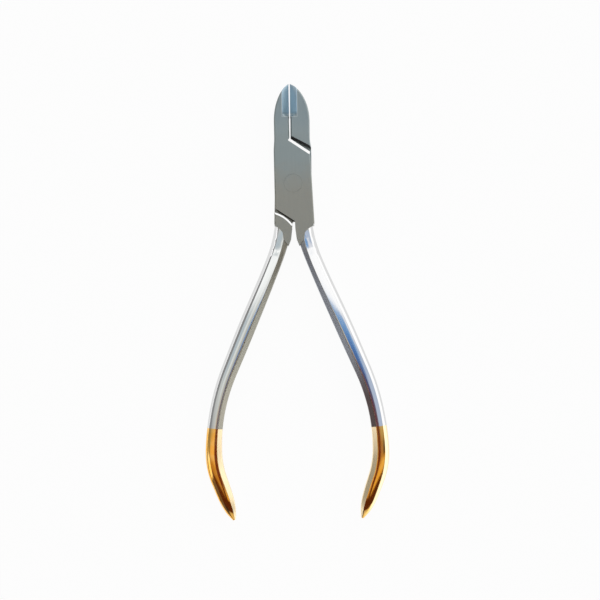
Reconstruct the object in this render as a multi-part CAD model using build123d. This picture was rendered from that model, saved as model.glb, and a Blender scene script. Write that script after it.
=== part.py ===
"""Orthodontic wire cutter: two forged levers crossed in a lap joint on a flush rivet.

Each lever is one forging: a jaw, a lap plate and a handle. A tungsten carbide cutting insert is brazed
into each jaw, and the end of each handle is gold plated. Sizes are millimetres and degrees. The origin
is on the pivot axis in the plane of the rear face, +Y points to the jaw tips and +Z to the front.
Both levers come from the same functions, drawn closed and as the front lever: the jaw on the -X side, the
lap plate in front and the handle on the +X side. The rear lever is turned half round the Y axis, and
each lever is then swung by half the rest opening.
"""

from build123d import *
import os
from dataclasses import astuple, dataclass
from math import asin, atan2, cos, degrees, dist, radians, sin, tan

# Joint
JOINT_THICKNESS = 6.4
LAP_CLEARANCE = 0.04
PLATE_HALF_WIDTH = 5.55
PLATE_CORNER_HALF_WIDTH = 5.3
PLATE_CORNER_REACH = 9.25
PLATE_EDGE_SLOPE = 34.5
PLATE_BEVEL_WIDTH = 0.8
PLATE_BEVEL_DEPTH = 0.35
HEEL_REACH = 7.6
HEEL_CORNER_X = 0.3
HEEL_SLOPE = 34.0
HEEL_CHAMFER = 0.2
JAW_SHOULDER_REACH = 13.3
JAW_SHOULDER_SLOPE = 28.0
HANDLE_SHOULDER_REACH = 8.55
HANDLE_SHOULDER_END_REACH = 12.15
HANDLE_SHOULDER_BULGE = 0.62
SHOULDER_BEVEL_WIDTH = 0.5
SHOULDER_BEVEL_DEPTH = 0.25
FLANK_RADIUS = 0.45
REST_OPENING = 0.8

# Pivot rivet
RIVET_RADIUS = 2.1
RIVET_HEAD_RADIUS = 2.7
RIVET_HEAD_DEPTH = 0.8
RIVET_RUNNING_CLEARANCE = 0.03

# Jaws
TIP_REACH = 29.95
TIP_CURVE_LENGTH = 11.45
TIP_CURVE_OVERRUN = 3.2
CUT_LINE_X = -0.7
FRONT_JAW_HALF_WIDTH = 5.3
REAR_JAW_HALF_WIDTH = 5.1
JAW_FLARE_REACH = 13.5
JAW_FLARE_LENGTH = 4.0
JAW_FLAT_REACH = 14.4
JAW_BLEND_RADIUS = 40.0
JAW_TAPER = 6.0
JAW_RELIEF = 0.1
JAW_EDGE_CHAMFER = 0.35

# Carbide inserts
INSERT_LENGTH = 10.05
INSERT_WIDTH = 2.1
INSERT_LAND = 0.15
EDGE_LAND = 0.12
BEVEL_RUN_OUT = 1.2
CLOSED_EDGE_GAP = 0.02
BRAZE_THICKNESS = 0.08

# Handle root
CROTCH_X = 0.4
CROTCH_REACH = 13.6
NECK_X = 0.75
NECK_REACH = 16.6
FLAT_END_X = 1.5
FLAT_END_REACH = 18.6
BAND_X = 3.0
BAND_REACH = 16.6
SCALLOP_X = 3.2
SCALLOP_REACH = 14.8
SCALLOP_SAG = 0.3
ROOT_REACH = 12.7
FRONT_ROOT_HALF_WIDTH = 6.15
REAR_ROOT_HALF_WIDTH = 5.7

# Handle path
HANDLE_START_X = 1.85
HANDLE_START_REACH = 13.2
HANDLE_SPLAY = 22.6
GRIP_RUN = 46.25
BOW_RADIUS = 63.0
BOW_TURN = 22.5
HOOK_RADIUS = 24.5
HOOK_TURN = 20.4
POINT_RUN = 12.8

# Handle sections: distance along the path, width and thickness
ROOT_WIDTH = 5.3
ROOT_OUTSET = 1.2
ROOT_FACE_STEP = 0.04
NECK_DISTANCE = 8.0
NECK_WIDTH = 4.7
NECK_THICKNESS = 6.0
GRIP_DISTANCE = 33.5
GRIP_WIDTH = 5.2
GRIP_THICKNESS = 5.4
WAIST_DISTANCE = 60.5
WAIST_WIDTH = 4.5
WAIST_THICKNESS = 4.5
PADDLE_DISTANCE = 75.5
PADDLE_WIDTH = 4.95
PADDLE_THICKNESS = 4.0
TAPER_LENGTH = 7.0
TAPER_WIDTH = 4.4
TAPER_THICKNESS = 3.3
NOSE_LENGTH = 3.0
NOSE_WIDTH = 3.1
NOSE_THICKNESS = 2.4
POINT_WIDTH = 0.8
POINT_THICKNESS = 0.9
SECTION_SPACING = 5.0
NOSE_SECTIONS = 4

# Shares of the section's width or half thickness
ROOT_INNER_BAND = 0.4
GRIP_INNER_BAND = 0.28
OUTER_BAND = 0.26
OUTER_WALL = 0.45
ROOT_INNER_WALL = 0.96
NECK_INNER_WALL = 0.84
GRIP_INNER_WALL = 0.58
ROOT_OUTER_RIDGE = 0.88
GRIP_OUTER_RIDGE = 0.94
SECTION_CORNER = 0.09

# Bulge of the handle's top and outer faces as a share of their width
FACE_CROWN = 0.035

# Gold plating
PLATED_LENGTH = 28.5
PLATING_THICKNESS = 0.1

# Length by which cutting shapes reach past what they cut
OVERCUT = 2.0

# Distance within which an edge counts as lying on a curve of the plan
ON_CURVE = 0.001


@dataclass(frozen=True)
class LeverSpec:
    """Sizes in which the two levers differ, each with its jaw on the -X side."""

    cut_x: float
    jaw_half_width: float
    root_half_width: float
    rivet_clearance: float

    @property
    def edge_x(self):
        """Place of the closed cutting edge."""
        return self.cut_x - CLOSED_EDGE_GAP / 2

    @property
    def relief_x(self):
        """Place of the jaw's steel edge below the insert."""
        return self.cut_x - JAW_RELIEF


@dataclass(frozen=True)
class Station:
    """Handle section at a distance along the path, set out from the path towards the outer side.

    inner_band is the inner bevel's share of the width. inner_wall and outer_ridge are shares of the half
    thickness: the top of the inner wall and the ridge between the top facet and the outer bevel.
    """

    distance: float
    width: float
    outset: float
    thickness: float
    inner_band: float
    inner_wall: float
    outer_ridge: float


FRONT = LeverSpec(CUT_LINE_X, FRONT_JAW_HALF_WIDTH, FRONT_ROOT_HALF_WIDTH, RIVET_RUNNING_CLEARANCE)
REAR = LeverSpec(-CUT_LINE_X, REAR_JAW_HALF_WIDTH, REAR_ROOT_HALF_WIDTH, 0.0)


def plate_edge_y(x):
    """Upper edge of the lap plate at x."""
    return PLATE_CORNER_REACH + (PLATE_CORNER_HALF_WIDTH - x) * tan(radians(PLATE_EDGE_SLOPE))


def jaw_shoulder_y(x):
    """Shoulder behind the jaw at x, where the other lever's plate is let in."""
    return JAW_SHOULDER_REACH + x * tan(radians(JAW_SHOULDER_SLOPE))


def jaw_face_z(y):
    """Front face of the jaw at y, beyond the blend from the flat joint to the tapered jaw."""
    taper = radians(JAW_TAPER)
    blend_drop = JAW_BLEND_RADIUS * (1 - cos(taper))
    taper_start = JAW_FLAT_REACH + JAW_BLEND_RADIUS * sin(taper)
    return JOINT_THICKNESS - blend_drop - (y - taper_start) * tan(taper)


def tip_curve(spec):
    """Curve of the jaw's tip: part of an ellipse whose top lies past the cutting edge."""
    width = spec.jaw_half_width + spec.edge_x + TIP_CURVE_OVERRUN
    past_edge = asin(TIP_CURVE_OVERRUN / width)
    centre = (spec.edge_x + TIP_CURVE_OVERRUN, TIP_REACH - TIP_CURVE_LENGTH)
    height = TIP_CURVE_LENGTH / cos(past_edge)
    start = 90 + degrees(past_edge)
    return EllipticalCenterArc(centre, width, height, start_angle=start, arc_size=180 - start)


def flank_curves(spec):
    """Outer edges of the plan: tip, jaw, flare to the plate, plate, and the flank down to the root."""
    tip = tip_curve(spec)
    flare_start = (-spec.jaw_half_width, JAW_FLARE_REACH)
    flare_end = (-PLATE_HALF_WIDTH, JAW_FLARE_REACH - JAW_FLARE_LENGTH)
    jaw_flank = Line(tip @ 1, flare_start)
    flare = Spline(flare_start, flare_end, tangents=[(0, -1), (0, -1)])
    plate_flank = Line(flare_end, (-PLATE_HALF_WIDTH, -HEEL_REACH))
    root_flank = Line((spec.root_half_width, -ROOT_REACH), (PLATE_CORNER_HALF_WIDTH, PLATE_CORNER_REACH))
    return [tip, jaw_flank, flare, plate_flank, root_flank]


def heel_curve():
    """Lower edge of the lap plate beside the other handle."""
    drop = (PLATE_HALF_WIDTH + HEEL_CORNER_X) * tan(radians(HEEL_SLOPE))
    return Line((-PLATE_HALF_WIDTH, -HEEL_REACH), (HEEL_CORNER_X, -HEEL_REACH - drop))


def jaw_edge_curves(spec):
    """Upper edge of the lap plate and the jaw's steel edge up to the insert."""
    corner = (spec.relief_x, plate_edge_y(spec.relief_x))
    plate_edge = Line((PLATE_CORNER_HALF_WIDTH, PLATE_CORNER_REACH), corner)
    steel_edge = Line(corner, (spec.relief_x, TIP_REACH - INSERT_LENGTH))
    return [plate_edge, steel_edge]


def plan(spec):
    """Plan of the flat part of the lever: jaw, lap plate and the root of the handle."""
    flanks = flank_curves(spec)
    tip = flanks[0]
    root_flank = flanks[-1]
    heel = heel_curve()
    plate_edge, steel_edge = jaw_edge_curves(spec)
    crotch = Polyline(
        heel @ 1,
        (CROTCH_X, -CROTCH_REACH),
        (NECK_X, -NECK_REACH),
        (FLAT_END_X, -FLAT_END_REACH),
        (BAND_X, -BAND_REACH),
        (SCALLOP_X, -SCALLOP_REACH),
    )
    scallop = SagittaArc(crotch @ 1, root_flank @ 0, SCALLOP_SAG)
    insert_step = Polyline(steel_edge @ 1, (spec.edge_x, TIP_REACH - INSERT_LENGTH), tip @ 0)
    return make_face([*flanks, heel, crotch, scallop, plate_edge, steel_edge, insert_step])


def side_form():
    """Side view of the joint and jaws: flat joint faces that blend into the tapered jaw faces."""
    blend = JernArc((JAW_FLAT_REACH, JOINT_THICKNESS), (1, 0), JAW_BLEND_RADIUS, -JAW_TAPER)
    end_y = TIP_REACH + OVERCUT
    slope = Line(blend @ 1, (end_y, jaw_face_z(end_y)))
    flat = Line((-FLAT_END_REACH - OVERCUT, JOINT_THICKNESS), blend @ 0)
    front = Wire([flat, blend, slope])
    rear = mirror(front, Plane((0, JOINT_THICKNESS / 2), z_dir=(0, 1, 0)))
    profile = make_face([front, rear, Line(front @ 0, rear @ 0), Line(front @ 1, rear @ 1)])
    half_width = FRONT_ROOT_HALF_WIDTH + REAR_ROOT_HALF_WIDTH
    return extrude(Plane.YZ * profile, half_width, both=True)


def edges_over(solid, curves):
    """Edges of the solid that lie over or under the given curves of its plan, without upright ones."""

    def follows(edge):
        middle = edge @ 0.5
        run = edge @ 1 - edge @ 0
        upright = Vector(run.X, run.Y).length < ON_CURVE
        plan_point = Vertex(middle.X, middle.Y, 0)
        return not upright and min(curve.distance_to(plan_point) for curve in curves) < ON_CURVE

    return solid.edges().filter_by(follows)


def flat_blank(spec):
    """Jaw, plate and root at full thickness, with rounded flanks."""
    blank = extrude(plan(spec), JOINT_THICKNESS) & side_form()
    return fillet(edges_over(blank, flank_curves(spec)), FLANK_RADIUS)


def shoulder_curves():
    """Shoulders of the handle and of the jaw, which face the other lever's plate."""
    reach = FRONT_ROOT_HALF_WIDTH + REAR_ROOT_HALF_WIDTH
    outer = (FRONT_ROOT_HALF_WIDTH, -HANDLE_SHOULDER_REACH)
    inner = (CROTCH_X, -HANDLE_SHOULDER_END_REACH)
    handle_shoulder = SagittaArc(outer, inner, -HANDLE_SHOULDER_BULGE)
    jaw_shoulder = Line((-reach, jaw_shoulder_y(-reach)), (reach, jaw_shoulder_y(reach)))
    return [handle_shoulder, jaw_shoulder]


def lap_recess(spec):
    """Space behind the lap plate for the other lever, with bevelled shoulders at jaw and handle."""
    handle_shoulder, jaw_shoulder = shoulder_curves()
    left_x = (jaw_shoulder @ 0).X
    right_x = (jaw_shoulder @ 1).X
    left = Polyline(handle_shoulder @ 1, (left_x, -HANDLE_SHOULDER_END_REACH), jaw_shoulder @ 0)
    right = Polyline(jaw_shoulder @ 1, (right_x, -HANDLE_SHOULDER_REACH), handle_shoulder @ 0)
    outline = make_face([handle_shoulder, left, jaw_shoulder, right])
    depth = (JOINT_THICKNESS + LAP_CLEARANCE) / 2
    mouth = offset(outline, SHOULDER_BEVEL_WIDTH, kind=Kind.INTERSECTION)
    flare = degrees(atan2(SHOULDER_BEVEL_WIDTH, SHOULDER_BEVEL_DEPTH))
    beside_jaw = Box(right_x, TIP_REACH, depth, align=(Align.MIN, Align.MIN, Align.MIN))
    recess = extrude(outline, depth) + extrude(mouth, SHOULDER_BEVEL_DEPTH, taper=flare)
    return recess + Pos(spec.relief_x, 0, 0) * beside_jaw


def plate_edge_bevel(spec):
    """Wedge that bevels the upper edge of the lap plate, from the flank to the corner at the jaw."""
    plate_edge, _ = jaw_edge_curves(spec)
    along = plate_edge % 0
    outward = Vector(along.Y, -along.X)
    start = plate_edge @ 0 - OVERCUT * along + Vector(0, 0, JOINT_THICKNESS)
    far_depth = PLATE_BEVEL_DEPTH * (1 + OVERCUT / PLATE_BEVEL_WIDTH)
    wedge = Polyline(
        (-PLATE_BEVEL_WIDTH, 0),
        (OVERCUT, far_depth),
        (OVERCUT, -OVERCUT),
        (-PLATE_BEVEL_WIDTH, -OVERCUT),
        close=True,
    )
    section = Plane(start, x_dir=outward, z_dir=along) * make_face(wedge)
    return extrude(section, OVERCUT + plate_edge.length, dir=along)


def flat_forging(spec, blank):
    """Jaw, lap plate and root with bevelled edges, the insert's seat, the lap recess and the rivet bore."""
    _, steel_edge = jaw_edge_curves(spec)
    body = blank - seat_box(spec, BRAZE_THICKNESS)
    body = chamfer(edges_over(body, [steel_edge]), JAW_EDGE_CHAMFER)
    body = chamfer(edges_over(body, [heel_curve()]), HEEL_CHAMFER)
    return body - plate_edge_bevel(spec) - lap_recess(spec) - rivet_bore(spec.rivet_clearance)


def rivet_bore(clearance):
    """Bore with a countersink in the front face."""
    top = JOINT_THICKNESS
    bore = RIVET_RADIUS + clearance
    sink = RIVET_HEAD_RADIUS + clearance
    half = Polyline(
        (0, 0),
        (bore, 0),
        (bore, top - RIVET_HEAD_DEPTH),
        (sink, top),
        (sink, top + OVERCUT),
        (0, top + OVERCUT),
        close=True,
    )
    return revolve(Plane.XZ * make_face(half), Axis.Z)


def pivot_rivet():
    """Rivet with a countersunk head at each end, ground flush with both faces."""
    top = JOINT_THICKNESS
    half = Polyline(
        (0, 0),
        (RIVET_HEAD_RADIUS, 0),
        (RIVET_RADIUS, RIVET_HEAD_DEPTH),
        (RIVET_RADIUS, top - RIVET_HEAD_DEPTH),
        (RIVET_HEAD_RADIUS, top),
        (0, top),
        close=True,
    )
    return revolve(Plane.XZ * make_face(half), Axis.Z)


def seat_box(spec, margin):
    """Space of the insert at the cutting edge, widened on its brazed sides by a margin."""
    low = Vector(spec.edge_x - INSERT_WIDTH - margin, TIP_REACH - INSERT_LENGTH - margin, -OVERCUT)
    high = Vector(spec.edge_x + OVERCUT, TIP_REACH + OVERCUT, JOINT_THICKNESS + OVERCUT)
    size = high - low
    return Pos(*low) * Box(*size, align=(Align.MIN, Align.MIN, Align.MIN))


def bevel_cut(spec):
    """Cut for the front bevel, from the insert's face down to the cutting edge, with a run-out."""
    bevel_width = INSERT_WIDTH - INSERT_LAND
    edge_z = (JOINT_THICKNESS + EDGE_LAND) / 2
    seat = TIP_REACH - INSERT_LENGTH

    def section(y, share):
        face_z = jaw_face_z(y)
        slope = share * (face_z - edge_z) / bevel_width
        start_x = spec.edge_x - bevel_width
        end_x = spec.edge_x + OVERCUT
        corners = [
            (start_x, y, face_z),
            (end_x, y, face_z - slope * (end_x - start_x)),
            (end_x, y, face_z + OVERCUT),
            (start_x, y, face_z + OVERCUT),
        ]
        return Face(Wire.make_polygon(corners))

    sections = [section(seat, 0.0), section(seat + BEVEL_RUN_OUT, 1.0), section(TIP_REACH + OVERCUT, 1.0)]
    return loft(sections, ruled=True)


def carbide_insert(spec, blank):
    """Insert with the outline of the jaw and a bevel on each face that meet at the cutting edge."""
    bevel = bevel_cut(spec)
    mid_plane = Plane((0, 0, JOINT_THICKNESS / 2))
    return (blank & seat_box(spec, 0)) - bevel - mirror(bevel, mid_plane)


def insert_braze(spec, blank):
    """Braze layer between the insert and its seat in the jaw."""
    return blank & (seat_box(spec, BRAZE_THICKNESS) - seat_box(spec, 0))


def handle_path():
    """Centre line of the handle: straight grip, wide bow, tighter hook and a straight point."""
    splay = radians(HANDLE_SPLAY)
    start = Vector(HANDLE_START_X, -HANDLE_START_REACH, JOINT_THICKNESS / 2)
    grip = Line(start, start + GRIP_RUN * Vector(sin(splay), -cos(splay)))
    bow = JernArc(grip @ 1, grip % 1, BOW_RADIUS, -BOW_TURN)
    hook = JernArc(bow @ 1, bow % 1, HOOK_RADIUS, -HOOK_TURN)
    point = Line(hook @ 1, hook @ 1 + POINT_RUN * (hook % 1))
    return Wire([grip, bow, hook, point])


def handle_plane(path, distance):
    """Plane across the handle, with x outwards and y to the front."""
    along = distance / path.length
    tangent = path % along
    return Plane(path @ along, x_dir=(-tangent.Y, tangent.X, 0), z_dir=tangent)


def named_stations(length):
    """Sections that set the form of a handle of the given length, from the root to the point."""
    root_thickness = JOINT_THICKNESS - 2 * ROOT_FACE_STEP
    root_shares = (ROOT_INNER_BAND, ROOT_INNER_WALL, ROOT_OUTER_RIDGE)
    neck_shares = (GRIP_INNER_BAND, NECK_INNER_WALL, ROOT_OUTER_RIDGE)
    grip_shares = (GRIP_INNER_BAND, GRIP_INNER_WALL, GRIP_OUTER_RIDGE)
    return [
        Station(0.0, ROOT_WIDTH, ROOT_OUTSET, root_thickness, *root_shares),
        Station(NECK_DISTANCE, NECK_WIDTH, 0.0, NECK_THICKNESS, *neck_shares),
        Station(GRIP_DISTANCE, GRIP_WIDTH, 0.0, GRIP_THICKNESS, *grip_shares),
        Station(WAIST_DISTANCE, WAIST_WIDTH, 0.0, WAIST_THICKNESS, *grip_shares),
        Station(PADDLE_DISTANCE, PADDLE_WIDTH, 0.0, PADDLE_THICKNESS, *grip_shares),
        Station(length - TAPER_LENGTH, TAPER_WIDTH, 0.0, TAPER_THICKNESS, *grip_shares),
        Station(length - NOSE_LENGTH, NOSE_WIDTH, 0.0, NOSE_THICKNESS, *grip_shares),
        Station(length, POINT_WIDTH, 0.0, POINT_THICKNESS, *grip_shares),
    ]


def smooth_value(knots, distance):
    """Cubic curve through (distance, value) knots, each with the mean slope to its neighbours."""
    last = len(knots) - 1

    def slope(index):
        (before, low), (after, high) = knots[max(index - 1, 0)], knots[min(index + 1, last)]
        return (high - low) / (after - before)

    index = max(i for i in range(last) if knots[i][0] <= distance or i == 0)
    (start, low), (end, high) = knots[index], knots[index + 1]
    span = end - start
    t = (distance - start) / span
    ends = low * (1 + 2 * t) * (1 - t) ** 2 + high * t**2 * (3 - 2 * t)
    slopes = slope(index) * t * (1 - t) ** 2 - slope(index + 1) * t**2 * (1 - t)
    return ends + span * slopes


def station_at(length, distance):
    """Handle section at a distance, smoothly between the named ones."""
    rows = [astuple(station) for station in named_stations(length)]
    values = [smooth_value([(row[0], row[i]) for row in rows], distance) for i in range(1, len(rows[0]))]
    return Station(distance, *values)


def handle_stations(length):
    """Evenly spaced sections along the handle, closer together in its nose."""
    nose_start = length - TAPER_LENGTH
    count = round(nose_start / SECTION_SPACING)
    distances = [nose_start * i / count for i in range(count)]
    distances += [nose_start + TAPER_LENGTH * i / NOSE_SECTIONS for i in range(NOSE_SECTIONS + 1)]
    return [station_at(length, distance) for distance in distances]


def crowned(start, end):
    """Shallow arc that bulges outwards between two corners of a section's upper half."""
    return SagittaArc(start, end, FACE_CROWN * dist(start, end))


def handle_section(station, skin):
    """Eight-sided section with crowned top and outer faces, set in by the thickness of a skin."""
    width = station.width - 2 * skin
    half = station.thickness / 2 - skin
    inner = station.outset - width / 2
    outer = station.outset + width / 2
    inner_wall = (inner, half * station.inner_wall)
    inner_ridge = (inner + station.inner_band * width, half)
    outer_ridge = (outer - OUTER_BAND * width, half * station.outer_ridge)
    outer_wall = (outer, half * OUTER_WALL)
    upper = [
        Line(inner_wall, inner_ridge),
        crowned(inner_ridge, outer_ridge),
        crowned(outer_ridge, outer_wall),
    ]
    lower = [mirror(side, Plane.XZ) for side in upper]
    walls = [Line((x, y), (x, -y)) for x, y in (inner_wall, outer_wall)]
    section = make_face([*upper, *walls, *lower])
    return fillet(section.vertices(), SECTION_CORNER * width)


def handle_form(skin):
    """Whole handle through its sections, set in all over by the thickness of a skin."""
    path = handle_path()
    stations = handle_stations(path.length)
    return loft([handle_plane(path, each.distance) * handle_section(each, skin) for each in stations])


def plated_side():
    """Plane across the handle where the plating starts, facing the point."""
    path = handle_path()
    return handle_plane(path, path.length - PLATED_LENGTH)


def build_lever(spec):
    """Lever forging, insert, braze layer and gold plating in the closed pose."""
    blank = flat_blank(spec)
    outer = handle_form(0)
    core = handle_form(PLATING_THICKNESS)
    border = plated_side()
    bare = split(outer, border, keep=Keep.BOTTOM)
    end_core = split(core, border, keep=Keep.TOP)
    plating = split(outer, border, keep=Keep.TOP) - end_core
    return {
        "lever": flat_forging(spec, blank) + bare + end_core,
        "carbide_insert": carbide_insert(spec, blank),
        "insert_braze": insert_braze(spec, blank),
        "gold_plating": plating,
    }


def turn_to_rear(shape):
    """Half turn round the Y axis at the lap plane, which makes a front lever the rear one."""
    return shape.rotate(Axis((0, 0, JOINT_THICKNESS / 2), (0, 1, 0)), 180)


def main():
    """Build every piece in the rest pose and write one file for each."""
    os.makedirs("parts", exist_ok=True)
    pieces = {"pivot_rivet": pivot_rivet()}
    for name, shape in build_lever(FRONT).items():
        pieces["front_" + name] = shape.rotate(Axis.Z, REST_OPENING / 2)
    for name, shape in build_lever(REAR).items():
        pieces["rear_" + name] = turn_to_rear(shape).rotate(Axis.Z, -REST_OPENING / 2)
    for name, shape in pieces.items():
        export_step(shape, f"parts/{name}.step")


main()
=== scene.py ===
"""Looks of the orthodontic wire cutter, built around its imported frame.

The rivet and the inserts with their braze keep the frame's shapes. The levers and the gold plated handle
ends get finely divided handles for their mirror finish, worked out from the same path and sections.
This script gives each piece its finish, and sets the floor, the studio light and the camera.
The scene is in metres. The handles' sizes and the patterns of the finishes are in millimetres.
"""

import logging
import math
from dataclasses import astuple, dataclass
from enum import Enum
from typing import Any

import bpy
import numpy as np
from mathutils import Matrix, Vector


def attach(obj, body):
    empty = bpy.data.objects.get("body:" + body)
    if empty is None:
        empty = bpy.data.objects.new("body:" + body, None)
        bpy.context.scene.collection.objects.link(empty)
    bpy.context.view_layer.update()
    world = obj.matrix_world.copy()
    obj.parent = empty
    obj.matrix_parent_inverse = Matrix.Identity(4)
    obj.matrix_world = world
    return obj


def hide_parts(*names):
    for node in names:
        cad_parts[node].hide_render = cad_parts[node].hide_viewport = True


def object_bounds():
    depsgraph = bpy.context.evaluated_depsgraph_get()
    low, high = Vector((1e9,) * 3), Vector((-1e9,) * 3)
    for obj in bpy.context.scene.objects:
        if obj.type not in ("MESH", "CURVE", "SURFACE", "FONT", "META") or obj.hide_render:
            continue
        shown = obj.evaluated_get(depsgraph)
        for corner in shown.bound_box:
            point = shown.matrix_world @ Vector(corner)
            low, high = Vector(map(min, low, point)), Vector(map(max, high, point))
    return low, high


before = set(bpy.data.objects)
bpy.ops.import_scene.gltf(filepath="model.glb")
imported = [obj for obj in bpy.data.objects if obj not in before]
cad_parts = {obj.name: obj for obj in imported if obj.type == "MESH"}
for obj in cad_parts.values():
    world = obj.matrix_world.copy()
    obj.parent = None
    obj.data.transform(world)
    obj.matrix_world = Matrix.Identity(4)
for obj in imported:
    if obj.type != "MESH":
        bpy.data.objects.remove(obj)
CAD_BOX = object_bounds()

MM = 0.001
PER_MM = 1000.0
MID_PLANE_Z = 3.2
SECTION_SIDES = 8

Colour = tuple[float, float, float]
Span = tuple[float, float]
Waves = tuple[float, float, float]

log = logging.getLogger("wire_cutter")


class Side(Enum):
    """The two halves of the tool; the value is the side of the handle along X."""

    FRONT = 1.0
    REAR = -1.0


@dataclass(frozen=True)
class HandlePath:
    """Centre line of a handle in the plan: a straight grip, a wide bow, a tighter hook and a straight point.

    Sizes are millimetres and degrees. The heading is measured from -Y towards the handle's outer side.
    """

    start: tuple[float, float] = (1.85, -13.2)
    splay: float = 22.6
    grip_run: float = 46.25
    bow_radius: float = 63.0
    bow_turn: float = 22.5
    hook_radius: float = 24.5
    hook_turn: float = 20.4
    point_run: float = 12.8
    steps: int = 4000

    def runs(self) -> tuple[np.ndarray, np.ndarray]:
        """Distances at which the runs start and end, and the headings in radians there.

        Returns:
            The distances and the headings.
        """
        bow = self.bow_radius * math.radians(self.bow_turn)
        hook = self.hook_radius * math.radians(self.hook_turn)
        ends = np.cumsum([0.0, self.grip_run, bow, hook, self.point_run])
        turned = np.cumsum([self.splay, 0.0, -self.bow_turn, -self.hook_turn, 0.0])
        return ends, np.radians(turned)

    @property
    def length(self) -> float:
        """Length of the whole path."""
        return float(self.runs()[0][-1])

    def follow(self, distance: np.ndarray) -> tuple[np.ndarray, np.ndarray, np.ndarray]:
        """Find places on the path.

        The heading changes evenly with the distance within each run, and the place is the running sum of
        short steps along the heading.

        Args:
            distance: Distances from the start.

        Returns:
            The x and y of each place and the heading there in radians.
        """
        ends, turned = self.runs()
        fine = np.linspace(0.0, self.length, self.steps + 1)
        heading = np.interp((fine[1:] + fine[:-1]) / 2, ends, turned)
        x = np.concatenate([[0.0], np.cumsum(np.sin(heading) * np.diff(fine))]) + self.start[0]
        y = self.start[1] - np.concatenate([[0.0], np.cumsum(np.cos(heading) * np.diff(fine))])
        return np.interp(distance, fine, x), np.interp(distance, fine, y), np.interp(distance, ends, turned)


HANDLE = HandlePath()


@dataclass(frozen=True)
class Station:
    """Section of the handle at a distance along its path, in millimetres.

    inner_band is a share of the width, and inner_wall and outer_ridge are shares of the half thickness.
    """

    distance: float
    width: float
    thickness: float
    outset: float = 0.0
    inner_band: float = 0.28
    inner_wall: float = 0.58
    outer_ridge: float = 0.94


STATIONS: tuple[Station, ...] = (
    Station(0.0, 5.3, 6.32, outset=1.2, inner_band=0.40, inner_wall=0.96, outer_ridge=0.88),
    Station(8.0, 4.7, 6.0, inner_wall=0.84, outer_ridge=0.88),
    Station(33.5, 5.2, 5.4),
    Station(60.5, 4.5, 4.5),
    Station(75.5, 4.95, 4.0),
    Station(HANDLE.length - 7.0, 4.4, 3.3),
    Station(HANDLE.length - 3.0, 3.1, 2.4),
    Station(HANDLE.length, 0.8, 0.9),
)


@dataclass(frozen=True)
class Skin:
    """Points with their surface directions, in metres, and the faces between them.

    corners holds the points of all faces one after another, and counts says how many belong to each face.
    """

    points: np.ndarray
    normals: np.ndarray
    corners: np.ndarray
    counts: np.ndarray

    def joined(self, other: "Skin") -> "Skin":
        """This skin and another one as a single skin.

        Args:
            other: The skin that is added.

        Returns:
            The two together.
        """
        points = np.concatenate([self.points, other.points])
        normals = np.concatenate([self.normals, other.normals])
        corners = np.concatenate([self.corners, other.corners + len(self.points)])
        return Skin(points, normals, corners, np.concatenate([self.counts, other.counts]))

    def piece(self, name: str) -> bpy.types.Object:
        """Make the skin an object with its own surface directions.

        Args:
            name: Name of the object.

        Returns:
            The object.
        """
        mesh = bpy.data.meshes.new(name)
        mesh.vertices.add(len(self.points))
        mesh.vertices.foreach_set("co", self.points.astype(np.float32).ravel())
        mesh.loops.add(len(self.corners))
        mesh.loops.foreach_set("vertex_index", self.corners.astype(np.int32))
        mesh.polygons.add(len(self.counts))
        mesh.polygons.foreach_set("loop_start", (np.cumsum(self.counts) - self.counts).astype(np.int32))
        mesh.update(calc_edges=True)
        mesh.normals_split_custom_set(self.normals[self.corners].tolist())
        piece = bpy.data.objects.new(name, mesh)
        bpy.context.scene.collection.objects.link(piece)
        return piece


def unit(vectors: np.ndarray) -> np.ndarray:
    """Vectors of length 1 in the same directions."""
    return vectors / np.linalg.norm(vectors, axis=-1, keepdims=True)


def arc_points(begin: np.ndarray, corner: np.ndarray, end: np.ndarray, count: int) -> np.ndarray:
    """Points of circular arcs that round off corners, without the last one.

    An arc is the rational curve of degree two of its begin, its corner and its end. The corner's weight is
    the cosine of half the turn from the one side to the other.

    Args:
        begin: Where the arcs begin.
        corner: The sharp corners.
        end: Where the arcs end.
        count: Number of points on each arc.

    Returns:
        The points along a new axis before the last.
    """
    cosine = np.sum(unit(corner - begin) * unit(end - corner), axis=-1, keepdims=True)
    weight = np.sqrt((1 + cosine) / 2)[..., None, :]
    share = np.linspace(0.0, 1.0, count, endpoint=False)[:, None]
    first, middle, last = (1 - share) ** 2, 2 * share * (1 - share) * weight, share**2
    arc = first * begin[..., None, :] + middle * corner[..., None, :] + last * end[..., None, :]
    return arc / (first + middle + last)


def face_points(
    begin: np.ndarray, leave: np.ndarray, end: np.ndarray, arrive: np.ndarray, count: int
) -> np.ndarray:
    """Points of crowned faces, without the last one.

    A face is the cubic curve from its begin to its end with the given tangents. Its two middle control
    points lie on the tangents, a third of its length away from the ends.

    Args:
        begin: Where the faces begin.
        leave: Tangents there.
        end: Where the faces end.
        arrive: Tangents there.
        count: Number of points on each face.

    Returns:
        The points along a new axis before the last.
    """
    third = np.linalg.norm(end - begin, axis=-1, keepdims=True) / 3
    first, second = begin + leave * third, end - arrive * third
    share = np.linspace(0.0, 1.0, count, endpoint=False)[:, None]
    rest = 1 - share
    ends = rest**3 * begin[..., None, :] + share**3 * end[..., None, :]
    return ends + 3 * share * rest * (rest * first[..., None, :] + share * second[..., None, :])


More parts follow.
